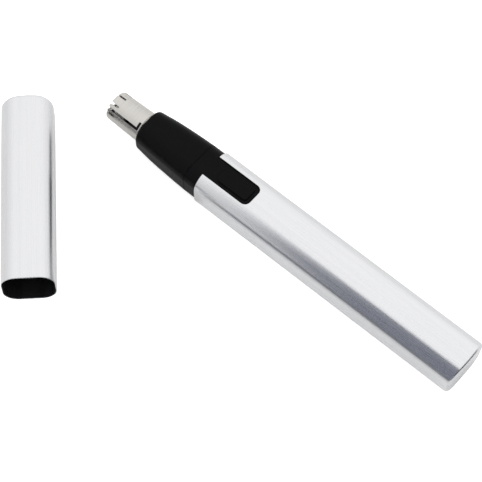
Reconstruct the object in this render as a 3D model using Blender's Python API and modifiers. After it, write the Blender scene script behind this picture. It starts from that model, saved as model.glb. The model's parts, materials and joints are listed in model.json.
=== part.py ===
"""Battery nose hair trimmer with its push-on cap lying beside it.

Row frame: +X from the head to the tail, +Z up through the switch face, +Y to the far side.
The origin is on the flat back of the body tube, which lies on the table, half way along it.

Every piece is modelled in a lathe frame that hangs on an empty: local Z runs along the
trimmer and counts up from the rim of the body tube towards the tip, local X is up through
the switch face, and local Y is to the side.  The cap has the same kind of frame, whose Z
runs from its mouth to its closed end.
"""

import math

import bmesh
import bpy
from mathutils import Matrix, Vector

MM = 0.001

# body tube: a drawn oval with a flat front and back and lower flats at its sides, closed at
# the tail; the side cut is how far the side flats cut into the oval
RIM_TO_ORIGIN = 50.0
SIDE_CUT = 0.6
TUBE_WIDTH = 16.8
TUBE_THICKNESS = 15.0
TUBE_FLAT = 7.8
TUBE_LENGTH = 100.2
TUBE_WALL = 0.5
TAIL_WALL = 0.8
TAIL_FILLET = 1.1

# closed ends of the tube and the cap: how far their top stands out beyond their bottom, and the
# radius of the bow across their top
TAIL_RAKE = 1.25
TAIL_BOW_RADIUS = 72.0
CAP_RAKE = 1.5
CAP_BOW_RADIUS = 26.0
END_FACE_RINGS = (0.3, 0.6, 0.85)

# notch in the front of the tube, and the switch tongue that fills it
TONGUE_LENGTH = 17.5
TONGUE_WIDTH = 7.8
TONGUE_THICKNESS = 0.9
TONGUE_CORNER = 1.9
TONGUE_RISE = 0.02
NOTCH_GAP = 0.15

# collar between the tube and the nose cone
COLLAR_WIDTH = 15.7
COLLAR_THICKNESS = 13.9
COLLAR_LENGTH = 4.6
SEAM = 0.15
SPIGOT_LENGTH = 4.0
SPIGOT_GAP = 0.2
WEB_REAR = 2.0
BOSS_WIDTH = 13.4
BOSS_THICKNESS = 10.6
BOSS_LENGTH = 2.4

# nose cone
CONE_FRONT = 26.5
CONE_CORNER = 1.1

# steel guard on its bayonet
GUARD_BASE = 27.2
GUARD_TIP = 40.5
GUARD_TIP_RADIUS = 5.0
GUARD_BASE_RADIUS = 5.3
GUARD_WALL = 0.45
GUARD_FRONT_WALL = 0.5
GUARD_SLOTS = 9
FIRST_SLOT_ANGLE = 15.0
SLOT_WIDTH = 0.7
SLOT_LENGTH = 3.4
INLET_ANGLE = -47.0
INLET_WIDTH = 0.95
PIN_ANGLE = -26.0
PIN_RADIUS = 0.33
LEG_HEIGHT = 0.9
LEG_MIDDLE = 27.95

# slide switch: a thumb pad on top of the tongue, whose stem runs in a slot hidden under it
PAD_REAR = -16.2
PAD_LENGTH = 11.6
PAD_WIDTH = 5.4
PAD_LIFT = 0.1
STEM_REAR = -12.4
STEM_LENGTH = 3.4
STEM_WIDTH = 2.6
SWITCH_TRAVEL = 2.6
RUNNING_GAP = 0.2
SKIRT_THICKNESS = 0.5
SKIRT_REAR = -30.2
SKIRT_FRONT = -1.6
SHEET = 0.2

# drive line: a flat-sided motor, its coupling, and the cutter spindle
SHAFT_RADIUS = 0.5
SPINDLE_RADIUS = 1.0
TANG = 0.4
BORE_GAP = 0.06
SHAFT_BORE = SHAFT_RADIUS + BORE_GAP
MOTOR_WIDTH = 12.0
MOTOR_THICKNESS = 10.0
MOTOR_FLAT = 6.6
MOTOR_FRONT = -7.2
MOTOR_REAR = -22.0
END_CAP_LENGTH = 2.7

# AAA cell
CELL_RADIUS = 5.25
CELL_LENGTH = 44.5
CELL_NUB = 0.8
CELL_FRONT = -35.5

# chassis tray
TRAY_REAR = -89.0
TRAY_TOP = 2.5
TRAY_GAP = 0.3

# cap, lying beside the trimmer with its mouth towards the tail
CAP_WIDTH = 16.8
CAP_THICKNESS = 15.0
CAP_FLAT = 7.8
CAP_LENGTH = 63.6
CAP_WALL = 0.25
CAP_FILLET = 1.3
LINER_WALL = 0.2
LINER_GAP = 0.03
LINER_SETBACK = 0.25
CAP_MOUTH_X = -66.8
CAP_MOUTH_Y = -65.6
CAP_YAW = 133.75

ARC_STEPS = 9
ROUND_STEPS = 32
SMALL_STEPS = 16
OBJECT_NAME = "nose_hair_trimmer"


# ---------------------------------------------------------------- scene and materials

def clear_scene():
    for obj in list(bpy.data.objects):
        bpy.data.objects.remove(obj, do_unlink=True)


def new_collection(name):
    collection = bpy.data.collections.new(name)
    bpy.context.scene.collection.children.link(collection)
    return collection


def make_material(name, colour, roughness, metallic):
    material = bpy.data.materials.new(name)
    material.use_nodes = True
    shader = material.node_tree.nodes["Principled BSDF"]
    shader.inputs["Base Color"].default_value = (*colour, 1.0)
    shader.inputs["Roughness"].default_value = roughness
    shader.inputs["Metallic"].default_value = metallic
    return material


clear_scene()
PARTS = new_collection(OBJECT_NAME)
CUTTERS = new_collection("cutters")
FRAMES = new_collection("frames")

ALUMINIUM = make_material("satin_aluminium", (0.80, 0.80, 0.81), 0.32, 1.0)
BLACK_PLASTIC = make_material("black_plastic", (0.018, 0.018, 0.020), 0.38, 0.0)
STEEL = make_material("bright_steel", (0.66, 0.65, 0.63), 0.24, 1.0)
ZINC = make_material("zinc_plate", (0.62, 0.63, 0.65), 0.35, 1.0)
BRASS = make_material("brass", (0.72, 0.55, 0.24), 0.30, 1.0)
COPPER = make_material("copper", (0.72, 0.40, 0.24), 0.30, 1.0)
FERRITE = make_material("ferrite", (0.05, 0.05, 0.055), 0.70, 0.0)
WHITE_PLASTIC = make_material("white_plastic", (0.82, 0.82, 0.80), 0.45, 0.0)
CELL_SLEEVE = make_material("cell_sleeve", (0.10, 0.22, 0.42), 0.35, 0.0)
RED_WIRE = make_material("red_wire", (0.60, 0.04, 0.03), 0.45, 0.0)
BLACK_WIRE = make_material("black_wire", (0.03, 0.03, 0.03), 0.45, 0.0)


# ---------------------------------------------------------------- frames of the bodies

def empty_frame(name, location, rotation, parent=None):
    frame = bpy.data.objects.new(name, None)
    frame.empty_display_size = 5 * MM
    frame.location = location
    frame.rotation_euler = rotation
    frame.parent = parent
    FRAMES.objects.link(frame)
    return frame


AXIS_HEIGHT = TUBE_THICKNESS / 2 * MM
RIM_X = -RIM_TO_ORIGIN * MM
TOWARDS_TIP = (0.0, -math.pi / 2, 0.0)

HOUSING = empty_frame("housing_frame", (RIM_X, 0.0, AXIS_HEIGHT), TOWARDS_TIP)
CHASSIS = empty_frame("chassis_frame", (0, 0, 0), (0, 0, 0), HOUSING)
SWITCH = empty_frame("switch_frame", (0, 0, 0), (0, 0, 0), CHASSIS)
GUARD = empty_frame("guard_frame", (0, 0, 0), (0, 0, 0), CHASSIS)
ROTOR = empty_frame("rotor_frame", (0, 0, 0), (0, 0, 0), CHASSIS)
CUTTER = empty_frame("cutter_frame", (0, 0, 0), (0, 0, 0), CHASSIS)

# local X up, local Z along the table at the cap's yaw
CAP = empty_frame(
    "cap_frame",
    (CAP_MOUTH_X * MM, CAP_MOUTH_Y * MM, CAP_THICKNESS / 2 * MM),
    (0.0, -math.pi / 2, math.radians(CAP_YAW - 180.0)),
)


# ---------------------------------------------------------------- mesh helpers (millimetres)

def add_object(name, mesh, material, parent, collection=None):
    obj = bpy.data.objects.new(name, mesh)
    obj.parent = parent
    (collection or PARTS).objects.link(obj)
    if material:
        mesh.materials.append(material)
    return obj


def finish_mesh(name, bm, smooth_angle=30.0):
    """Turn a bmesh in millimetres into a mesh in metres with its faces pointing out."""
    bmesh.ops.recalc_face_normals(bm, faces=bm.faces)
    bmesh.ops.scale(bm, vec=(MM, MM, MM), verts=bm.verts)
    mesh = bpy.data.meshes.new(name)
    bm.to_mesh(mesh)
    bm.free()
    mesh.shade_smooth()
    mesh.set_sharp_from_angle(angle=math.radians(smooth_angle))
    return mesh


def oval(width, thickness, flat, cut=0.0, steps=ARC_STEPS, flat_steps=1):
    """Flat front and back joined by quarter ellipses, as (up, side) points.

    A cut makes the ellipses wider than the width, and flattens them where they pass it.
    """
    half_flat = flat / 2
    side_axis = width / 2 + cut - half_flat
    up_axis = thickness / 2
    first = math.acos((side_axis - cut) / side_axis)
    rising = [first + (math.pi / 2 - first) * step / steps for step in range(steps + 1)]
    falling = [-angle for angle in reversed(rising)]
    quarter_turns = falling + (rising if cut else rising[1:])
    points = []
    for half, centre in ((0, half_flat), (1, -half_flat)):
        for quarter in quarter_turns:
            angle = math.pi * half + quarter
            points.append((up_axis * math.sin(angle), centre + side_axis * math.cos(angle)))
        for step in range(1, flat_steps):
            side = centre * (1 - 2 * step / flat_steps)
            points.append((math.copysign(up_axis, centre), side))
    return points


def loft(name, rings, material, parent, closed=False, collection=None):
    """Skin between rings of (up, side, along) points; ends are capped unless closed."""
    bm = bmesh.new()
    loops = [[bm.verts.new(point) for point in ring] for ring in rings]
    count = len(loops[0])
    pairs = list(zip(loops, loops[1:]))
    if closed:
        pairs.append((loops[-1], loops[0]))
    for first, second in pairs:
        for index in range(count):
            after = (index + 1) % count
            bm.faces.new((first[index], first[after], second[after], second[index]))
    if not closed:
        bm.faces.new(loops[0])
        bm.faces.new(loops[-1])
    return add_object(name, finish_mesh(name, bm), material, parent, collection)


def oval_loft(name, stations, material, parent, closed=False, collection=None):
    """Loft through ovals given as (along, width, thickness, flat) and, if any, their cut."""
    rings = [[(up, side, along) for up, side in oval(*section)] for along, *section in stations]
    return loft(name, rings, material, parent, closed, collection)


def prism(name, outline, low, high, material, parent, collection=None):
    """An outline of (up, side) points, extruded along the trimmer."""
    rings = [[(up, side, along) for up, side in outline] for along in (low, high)]
    return loft(name, rings, material, parent, collection=collection)


def box(name, ups, sides, alongs, material, parent, bevel=0.0, collection=None):
    bm = bmesh.new()
    bmesh.ops.create_cube(bm, size=1.0)
    spans = (ups, sides, alongs)
    size = Vector([high - low for low, high in spans])
    middle = Vector([(high + low) / 2 for low, high in spans])
    placing = Matrix.Translation(middle) @ Matrix.Diagonal((*size, 1))
    bmesh.ops.transform(bm, matrix=placing, verts=bm.verts)
    obj = add_object(name, finish_mesh(name, bm), material, parent, collection)
    if bevel:
        edge = obj.modifiers.new("edge", "BEVEL")
        edge.width = bevel * MM
        edge.segments = 2
        edge.limit_method = "ANGLE"
    return obj


def turned(name, profile, material, parent, closed=False, steps=ROUND_STEPS, collection=None):
    """Screw a profile of (radius, along) points, from its front end down its outer side."""
    bm = bmesh.new()
    verts = [bm.verts.new((radius, 0.0, along)) for radius, along in profile]
    pairs = list(zip(verts, verts[1:]))
    if closed:
        pairs.append((verts[-1], verts[0]))
    for first, second in pairs:
        bm.edges.new((first, second))
    bmesh.ops.scale(bm, vec=(MM, MM, MM), verts=bm.verts)
    mesh = bpy.data.meshes.new(name)
    bm.to_mesh(mesh)
    bm.free()
    obj = add_object(name, mesh, material, parent, collection)
    screw = obj.modifiers.new("turn", "SCREW")
    screw.axis = "Z"
    screw.steps = steps
    screw.render_steps = steps
    screw.use_merge_vertices = True
    screw.merge_threshold = 0.00001
    screw.use_smooth_shade = True
    return obj


def rod(name, radius, low, high, material, parent, steps=ROUND_STEPS, collection=None):
    profile = [(0.0, high), (radius, high), (radius, low), (0.0, low)]
    return turned(name, profile, material, parent, steps=steps, collection=collection)


def ring(name, inner, outer, low, high, material, parent, steps=ROUND_STEPS):
    profile = [(outer, high), (outer, low), (inner, low), (inner, high)]
    return turned(name, profile, material, parent, closed=True, steps=steps)


def strip(name, path, sides, thickness, material, parent):
    """Sheet metal: a path of (up, along) points, as wide as sides, with Solidify."""
    bm = bmesh.new()
    rows = [[bm.verts.new((up, side, along)) for side in sides] for up, along in path]
    for (a, b), (c, d) in zip(rows, rows[1:]):
        bm.faces.new((a, b, d, c))
    obj = add_object(name, finish_mesh(name, bm), material, parent)
    solidify = obj.modifiers.new("sheet", "SOLIDIFY")
    solidify.thickness = thickness * MM
    solidify.offset = 0.0
    return obj


def wire(name, points, radius, material, parent):
    """A tube along a POLY spline, as one mesh with its caps welded."""
    curve = bpy.data.curves.new(name, "CURVE")
    curve.dimensions = "3D"
    curve.bevel_depth = radius * MM
    curve.bevel_resolution = 2
    curve.use_fill_caps = True
    spline = curve.splines.new("POLY")
    spline.points.add(len(points) - 1)
    for target, point in zip(spline.points, points):
        target.co = (*[value * MM for value in point], 1.0)
    guide = bpy.data.objects.new(name + "_path", curve)
    CUTTERS.objects.link(guide)
    evaluated = guide.evaluated_get(bpy.context.evaluated_depsgraph_get())
    mesh = bpy.data.meshes.new_from_object(evaluated)
    bpy.data.objects.remove(guide, do_unlink=True)
    mesh.name = name
    bm = bmesh.new()
    bm.from_mesh(mesh)
    bmesh.ops.remove_doubles(bm, verts=bm.verts, dist=0.000005)
    bmesh.ops.recalc_face_normals(bm, faces=bm.faces)
    bm.to_mesh(mesh)
    bm.free()
    mesh.materials.clear()
    return add_object(name, mesh, material, parent)


def smooth_route(points, samples):
    """Catmull-Rom points through a short hand-chosen route."""
    route = [Vector(point) for point in points]
    route = [route[0] * 2 - route[1]] + route + [route[-1] * 2 - route[-2]]
    result = []
    for before, start, end, after in zip(route, route[1:], route[2:], route[3:]):
        for step in range(samples):
            t = step / samples
            slope_in = (end - before) / 2
            slope_out = (after - start) / 2
            cubic = (2 * start - 2 * end + slope_in + slope_out) * t ** 3
            square = (3 * end - 3 * start - 2 * slope_in - slope_out) * t ** 2
            result.append(cubic + square + slope_in * t + start)
    result.append(route[-2])
    return result


def coil(name, low, high, low_radius, high_radius, wire_radius, turns, material, parent):
    """Compression spring, its radius running evenly from one end to the other."""
    per_turn = 14
    points = []
    for step in range(turns * per_turn + 1):
        share = step / (turns * per_turn)
        angle = 2 * math.pi * turns * share
        radius = low_radius + (high_radius - low_radius) * share
        along = low + wire_radius + (high - low - 2 * wire_radius) * share
        points.append((radius * math.cos(angle), radius * math.sin(angle), along))
    return wire(name, points, wire_radius, material, parent)


def boolean(target, tool, operation="DIFFERENCE"):
    tool.hide_render = True
    tool.display_type = "WIRE"
    step = target.modifiers.new(operation.lower(), "BOOLEAN")
    step.operation = operation
    step.solver = "EXACT"
    step.object = tool


def at_angle(radius, degrees):
    """A point at an angle counted from up towards the far side."""
    angle = math.radians(degrees)
    return (radius * math.cos(angle), radius * math.sin(angle))


def sector(inner, outer, start, end, steps):
    """Outline of a piece of a ring."""
    outside = [at_angle(outer, start + (end - start) * step / steps) for step in range(steps + 1)]
    inside = [at_angle(inner, end + (start - end) * step / steps) for step in range(steps + 1)]
    return outside + inside


def tongue_outline(width, rear, front, radius, steps=5):
    """(side, along) outline, square at the front and with rounded corners at the rear."""
    points = [(width / 2, front), (-width / 2, front)]
    for side_sign, first in ((-1, 180.0), (1, 270.0)):
        centre = side_sign * (width / 2 - radius)
        for step in range(steps + 1):
            angle = math.radians(first + 90.0 * step / steps)
            points.append((centre + radius * math.cos(angle), rear + radius + radius * math.sin(angle)))
    return points


def plate(name, outline, low, high, material, parent, collection=None):
    """A (side, along) outline as a plate between two heights."""
    rings = [[(up, side, along) for side, along in outline] for up in (low, high)]
    return loft(name, rings, material, parent, collection=collection)


def rounded_edge(radius, steps=4):
    """(depth, inset) pairs round the edge of a closed end, from its face to its side."""
    pairs = []
    for step in range(steps + 1):
        angle = math.pi / 2 * step / steps
        pairs.append((radius * (1 - math.cos(angle)), radius * (1 - math.sin(angle))))
    return pairs


def inset_oval(size, inset):
    width, thickness, flat = size
    return oval(width - 2 * inset, thickness - 2 * inset, flat, SIDE_CUT, flat_steps=4)


def inset_ring(size, inset, along):
    return [(up, side, along) for up, side in inset_oval(size, inset)]


def stand_out(up, side, rake, bow_radius):
    """How far a closed end stands out at a point, beyond its bottom edge."""
    height_share = up / TUBE_THICKNESS + 0.5
    return height_share * (rake - side ** 2 / (2 * bow_radius))


def raked_end(end, outward, fillet, size, rake, bow_radius):
    """Rings of a raked and bowed closed end, from its middle out and over its rounded edge."""
    face = inset_oval(size, fillet)
    levels = [([(up * share, side * share) for up, side in face], 0.0) for share in END_FACE_RINGS]
    levels += [(inset_oval(size, inset), depth) for depth, inset in rounded_edge(fillet)]
    rings = []
    for outline, depth in levels:
        ring = []
        for up, side in outline:
            ring.append((up, side, end + outward * (stand_out(up, side, rake, bow_radius) - depth)))
        rings.append(ring)
    return rings


# ---------------------------------------------------------------- housing

def make_body_tube():
    size = (TUBE_WIDTH, TUBE_THICKNESS, TUBE_FLAT)
    rings = raked_end(-TUBE_LENGTH, -1, TAIL_FILLET, size, TAIL_RAKE, TAIL_BOW_RADIUS)
    rings.append(inset_ring(size, 0.0, 0.0))
    rings.append(inset_ring(size, TUBE_WALL, 0.0))
    rings.append(inset_ring(size, TUBE_WALL, -TUBE_LENGTH + TAIL_FILLET))
    rings.append(inset_ring(size, TAIL_FILLET, -TUBE_LENGTH + TAIL_WALL))
    tube = loft("body_tube", rings, ALUMINIUM, HOUSING)
    notch_rear = -TONGUE_LENGTH - NOTCH_GAP
    outline = tongue_outline(
        TONGUE_WIDTH + 2 * NOTCH_GAP, notch_rear, 2.0, TONGUE_CORNER + NOTCH_GAP
    )
    boolean(tube, plate("notch_cutter", outline, 4.0, TUBE_THICKNESS, None, HOUSING, CUTTERS))


# ---------------------------------------------------------------- collar, cone and tray

SPIGOT_WIDTH = TUBE_WIDTH - 2 * (TUBE_WALL + SPIGOT_GAP)
SPIGOT_THICKNESS = TUBE_THICKNESS - 2 * (TUBE_WALL + SPIGOT_GAP)
POCKET_WIDTH = 14.2
POCKET_THICKNESS = 12.2
POCKET_FLAT = 7.4
POCKET_CUT = 0.3
WEB_BORE = 3.4
SCREW_SIDE = 5.3
SCREW_RADIUS = 0.7
SCREW_HEAD_RADIUS = 1.15
SCREW_HEAD_HEIGHT = 1.0
SCREW_GAP = 0.1


def make_switch_collar():
    flat = TUBE_FLAT - 0.2
    stations = [
        (-SPIGOT_LENGTH, SPIGOT_WIDTH, SPIGOT_THICKNESS, flat, SIDE_CUT),
        (SEAM, SPIGOT_WIDTH, SPIGOT_THICKNESS, flat, SIDE_CUT),
        (SEAM, COLLAR_WIDTH, COLLAR_THICKNESS, flat, SIDE_CUT),
        (COLLAR_LENGTH, COLLAR_WIDTH, COLLAR_THICKNESS, flat, SIDE_CUT),
        (COLLAR_LENGTH, BOSS_WIDTH, BOSS_THICKNESS, POCKET_FLAT, POCKET_CUT),
        (COLLAR_LENGTH + BOSS_LENGTH, BOSS_WIDTH, BOSS_THICKNESS, POCKET_FLAT, POCKET_CUT),
    ]
    collar = oval_loft("switch_collar", stations, BLACK_PLASTIC, CHASSIS)
    top = COLLAR_THICKNESS / 2
    tongue = plate(
        "tongue_blank",
        tongue_outline(TONGUE_WIDTH, -TONGUE_LENGTH, COLLAR_LENGTH / 2, TONGUE_CORNER),
        top - TONGUE_THICKNESS, top + TONGUE_RISE, None, CHASSIS, CUTTERS,
    )
    boolean(collar, tongue, "UNION")
    pocket_stations = [
        (-SPIGOT_LENGTH - 1.0, POCKET_WIDTH, POCKET_THICKNESS, POCKET_FLAT, POCKET_CUT),
        (WEB_REAR, POCKET_WIDTH, POCKET_THICKNESS, POCKET_FLAT, POCKET_CUT),
    ]
    boolean(collar, oval_loft("collar_pocket", pocket_stations, None, CHASSIS, collection=CUTTERS))
    boolean(collar, rod("collar_bore", WEB_BORE, 0.0, 12.0, None, CHASSIS, collection=CUTTERS))
    half_slot = STEM_WIDTH / 2 + RUNNING_GAP
    slot_front = STEM_REAR + STEM_LENGTH + SWITCH_TRAVEL + RUNNING_GAP
    stem_slot = box(
        "stem_slot", (4.0, TUBE_THICKNESS), (-half_slot, half_slot),
        (STEM_REAR - RUNNING_GAP, slot_front), None, CHASSIS, collection=CUTTERS,
    )
    boolean(collar, stem_slot)
    for side in (-1, 1):
        hole = rod(
            "screw_hole", SCREW_RADIUS + SCREW_GAP, 0.0, 12.0, None, CHASSIS, SMALL_STEPS, CUTTERS,
        )
        hole.location.y = side * SCREW_SIDE * MM
        boolean(collar, hole)


def make_chassis_screws():
    head_seat = COLLAR_LENGTH + BOSS_LENGTH + 0.05
    tip = -3.4
    profile = [
        (0.0, head_seat + SCREW_HEAD_HEIGHT),
        (SCREW_HEAD_RADIUS * 0.75, head_seat + SCREW_HEAD_HEIGHT),
        (SCREW_HEAD_RADIUS, head_seat + SCREW_HEAD_HEIGHT * 0.5),
        (SCREW_HEAD_RADIUS, head_seat),
        (SCREW_RADIUS, head_seat),
        (SCREW_RADIUS, tip + 0.8),
        (0.0, tip),
    ]
    for side, word in ((-1, "near"), (1, "far")):
        screw = turned("chassis_screw_" + word, profile, ZINC, CHASSIS, steps=SMALL_STEPS)
        screw.location.y = side * SCREW_SIDE * MM


def make_nose_cone():
    outer = [
        (COLLAR_LENGTH + SEAM, COLLAR_WIDTH, COLLAR_THICKNESS, 7.4, SIDE_CUT),
        (10.0, 15.25, COLLAR_THICKNESS, 7.0, SIDE_CUT),
        (15.0, 14.75, 13.85, 6.4, 0.5),
        (20.0, 14.15, 13.65, 5.4, 0.4),
        (CONE_FRONT - CONE_CORNER, 13.2, 13.2, 4.0, 0.2),
        (CONE_FRONT - CONE_CORNER * 0.4, 12.8, 12.8, 3.2, 0.15),
        (CONE_FRONT, 12.2, 12.4, 2.0, 0.1),
    ]
    cone = oval_loft("nose_cone", outer, BLACK_PLASTIC, CHASSIS)
    rear_width = BOSS_WIDTH + 0.4
    rear_thickness = BOSS_THICKNESS + 0.4
    hollow = [
        (COLLAR_LENGTH - 1.0, rear_width, rear_thickness, POCKET_FLAT, POCKET_CUT),
        (12.0, rear_width, rear_thickness, POCKET_FLAT, POCKET_CUT),
        (CONE_FRONT - 2.6, 11.0, 10.4, 4.0, POCKET_CUT),
    ]
    boolean(cone, oval_loft("cone_hollow", hollow, None, CHASSIS, collection=CUTTERS))
    boolean(cone, rod("cone_bore", 4.0, 20.0, 30.0, None, CHASSIS, collection=CUTTERS))


def make_bayonet_ring():
    bore = 3.2
    press = 3.9
    rear = 24.2
    front = 30.4
    spigot = GUARD_BASE_RADIUS - GUARD_WALL - RUNNING_GAP
    flange = 5.6
    flange_front = GUARD_BASE - RUNNING_GAP
    flange_rear = CONE_FRONT + 0.1
    profile = [
        (spigot, front),
        (spigot, flange_front),
        (flange, flange_front),
        (flange, flange_rear),
        (press, flange_rear),
        (press, rear),
        (bore, rear),
        (bore, front),
    ]
    base = turned("bayonet_ring", profile, STEEL, CHASSIS, closed=True, steps=40)
    pin_end = GUARD_BASE_RADIUS - 0.12
    pin = rod("bayonet_pin", PIN_RADIUS, press, pin_end, None, CHASSIS, 12, CUTTERS)
    pin.location = (0.0, 0.0, LEG_MIDDLE * MM)
    # local Z of the pin points outwards at the pin's angle
    pin.rotation_euler = (0.0, math.pi / 2, math.radians(PIN_ANGLE))
    boolean(base, pin, "UNION")


def make_chassis_tray():
    around = 2 * (TUBE_WALL + TRAY_GAP)
    rear = (TUBE_WIDTH - around, TUBE_THICKNESS - around, TUBE_FLAT, SIDE_CUT)
    front = (POCKET_WIDTH - 0.4, POCKET_THICKNESS - 0.4, POCKET_FLAT, POCKET_CUT)
    step = -SPIGOT_LENGTH - TRAY_GAP
    stations = [(TRAY_REAR, *rear), (step, *rear), (step, *front), (WEB_REAR - 0.2, *front)]
    tray = oval_loft("chassis_tray", stations, BLACK_PLASTIC, CHASSIS)
    high = TUBE_THICKNESS
    past_front = 4.0
    motor_side = MOTOR_WIDTH / 2 + 0.15
    motor_low = -MOTOR_THICKNESS / 2 - 0.15
    motor_ends = (MOTOR_REAR - RUNNING_GAP, MOTOR_FRONT + 0.1)
    wiring_ends = (-29.5, MOTOR_REAR)
    cell = CELL_RADIUS + 0.2
    cell_front = CELL_FRONT + 0.7
    cell_rear = -86.7
    bays = [
        ("tray_top", (TRAY_TOP, high), (-high, high), (TRAY_REAR - 2, past_front)),
        ("motor_bay", (motor_low, high), (-motor_side, motor_side), motor_ends),
        ("wiring_bay", (-3.0, high), (-4.6, 4.6), wiring_ends),
        ("cell_bay", (0.0, high), (-cell, cell), (cell_rear, cell_front)),
    ]
    for name, ups, sides, alongs in bays:
        boolean(tray, box(name, ups, sides, alongs, None, CHASSIS, collection=CUTTERS))
    troughs = [
        ("cell_trough", cell, cell_rear, cell_front),
        ("shaft_trough", WEB_BORE, MOTOR_FRONT - 0.5, past_front),
    ]
    for name, radius, low, top in troughs:
        boolean(tray, rod(name, radius, low, top, None, CHASSIS, collection=CUTTERS))
    for side in (-1, 1):
        hole = rod(
            "screw_pilot", SCREW_RADIUS + SCREW_GAP, -3.8, past_front, None, CHASSIS, SMALL_STEPS,
            CUTTERS,
        )
        hole.location.y = side * SCREW_SIDE * MM
        boolean(tray, hole)


# ---------------------------------------------------------------- slide switch

def make_switch():
    tongue_top = COLLAR_THICKNESS / 2 + TONGUE_RISE
    skirt_top = COLLAR_THICKNESS / 2 - TONGUE_THICKNESS - RUNNING_GAP
    skirt_bottom = skirt_top - SKIRT_THICKNESS
    pad_low = tongue_top + PAD_LIFT
    half_pad = PAD_WIDTH / 2
    half_stem = STEM_WIDTH / 2
    half_skirt = 3.4
    pad_ends = (PAD_REAR, PAD_REAR + PAD_LENGTH)
    stem_ends = (STEM_REAR, STEM_REAR + STEM_LENGTH)
    button = box(
        "switch_button", (pad_low, TUBE_THICKNESS / 2), (-half_pad, half_pad), pad_ends,
        BLACK_PLASTIC, SWITCH, bevel=0.15,
    )
    stem = box(
        "switch_stem", (skirt_top - 0.2, pad_low + 0.2), (-half_stem, half_stem), stem_ends,
        None, SWITCH, collection=CUTTERS,
    )
    skirt = box(
        "switch_skirt", (skirt_bottom, skirt_top), (-half_skirt, half_skirt),
        (SKIRT_REAR, SKIRT_FRONT), None, SWITCH, collection=CUTTERS,
    )
    boolean(button, stem, "UNION")
    boolean(button, skirt, "UNION")
    root = skirt_bottom - 0.12
    low = skirt_bottom - 1.1
    path = [(root, -29.6), (low, -28.4), (low, -27.6), (root, -26.4)]
    strip("switch_wiper", path, (-3.1, 3.1), SHEET, COPPER, SWITCH)


def make_switch_contacts():
    path = [(3.1, -33.2), (3.1, -29.8), (3.75, -28.6), (3.75, -24.2)]
    strip("switch_contact_motor", path, (-3.0, -1.3), SHEET, COPPER, CHASSIS)
    strip("switch_contact_return", path, (1.3, 3.0), SHEET, COPPER, CHASSIS)


# ---------------------------------------------------------------- motor

def make_motor_shell():
    wall = 0.5
    split = MOTOR_REAR + END_CAP_LENGTH
    size = (MOTOR_WIDTH, MOTOR_THICKNESS, MOTOR_FLAT)
    inner = (MOTOR_WIDTH - 2 * wall, MOTOR_THICKNESS - 2 * wall, MOTOR_FLAT)
    stations = [
        (MOTOR_FRONT, *size),
        (split + 0.05, *size),
        (split + 0.05, *inner),
        (MOTOR_FRONT - wall, *inner),
    ]
    can = oval_loft("motor_can", stations, ZINC, CHASSIS)
    can_ends = (MOTOR_FRONT - 2.0, MOTOR_FRONT + 2.0)
    boolean(can, rod("can_bore", 1.6, *can_ends, None, CHASSIS, collection=CUTTERS))
    end_cap_stations = [(MOTOR_REAR, *size), (split, *size)]
    end_cap = oval_loft("motor_end_cap", end_cap_stations, WHITE_PLASTIC, CHASSIS)
    bore_ends = (MOTOR_REAR + 0.5, split + 1.0)
    boolean(end_cap, rod("end_cap_bore", SHAFT_BORE, *bore_ends, None, CHASSIS, SMALL_STEPS, CUTTERS))
    bush_ends = (MOTOR_FRONT - 0.9, MOTOR_FRONT + 1.1)
    ring("motor_bush", SHAFT_BORE, 1.5, *bush_ends, BRASS, CHASSIS, steps=24)
    half_magnet = 46.0
    for side, word in ((90.0, "far"), (-90.0, "near")):
        outline = sector(3.9, 5.1, side - half_magnet, side + half_magnet, 8)
        prism("motor_magnet_" + word, outline, -17.0, -9.0, FERRITE, CHASSIS)
    terminal_ends = (MOTOR_REAR - 2.4, MOTOR_REAR - 0.05)
    for side, word in ((1, "far"), (-1, "near")):
        sides = sorted((side * 3.4, side * 3.7))
        box("motor_terminal_" + word, (-0.9, 0.9), sides, terminal_ends, COPPER, CHASSIS)


def make_rotor():
    rod("motor_shaft", SHAFT_RADIUS, MOTOR_REAR + 0.7, 1.4, STEEL, ROTOR, steps=SMALL_STEPS)
    shoe = 3.6
    shoe_steps = 8
    root = 1.3
    neck = 2.9
    outline = []
    for pole in range(3):
        middle = 120.0 * pole
        outline.append(at_angle(root, middle - 32.0))
        outline.append(at_angle(neck, middle - 14.0))
        outline.append(at_angle(neck, middle - 48.0))
        for step in range(shoe_steps + 1):
            outline.append(at_angle(shoe, middle - 50.0 + 100.0 * step / shoe_steps))
        outline.append(at_angle(neck, middle + 48.0))
        outline.append(at_angle(neck, middle + 14.0))
        outline.append(at_angle(root, middle + 32.0))
    armature = prism("motor_armature", outline, -16.6, -9.4, ZINC, ROTOR)
    bore = rod("armature_bore", SHAFT_BORE, -20.0, -5.0, None, ROTOR, SMALL_STEPS, CUTTERS)
    boolean(armature, bore)
    ring("motor_commutator", SHAFT_BORE, 1.6, -18.9, -17.3, COPPER, ROTOR, steps=24)


def make_drive_coupling():
    radius = 2.2
    half_slot = TANG + RUNNING_GAP
    coupling = rod("drive_coupling", radius, -2.0, 3.4, WHITE_PLASTIC, ROTOR)
    bore = rod("coupling_bore", SHAFT_BORE, -4.0, 1.6, None, ROTOR, SMALL_STEPS, CUTTERS)
    boolean(coupling, bore)
    slot = box(
        "coupling_slot", (-half_slot, half_slot), (-4.0, 4.0), (1.9, 5.0), None, ROTOR,
        collection=CUTTERS,
    )
    boolean(coupling, slot)


# ---------------------------------------------------------------- cutter and guard

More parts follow.
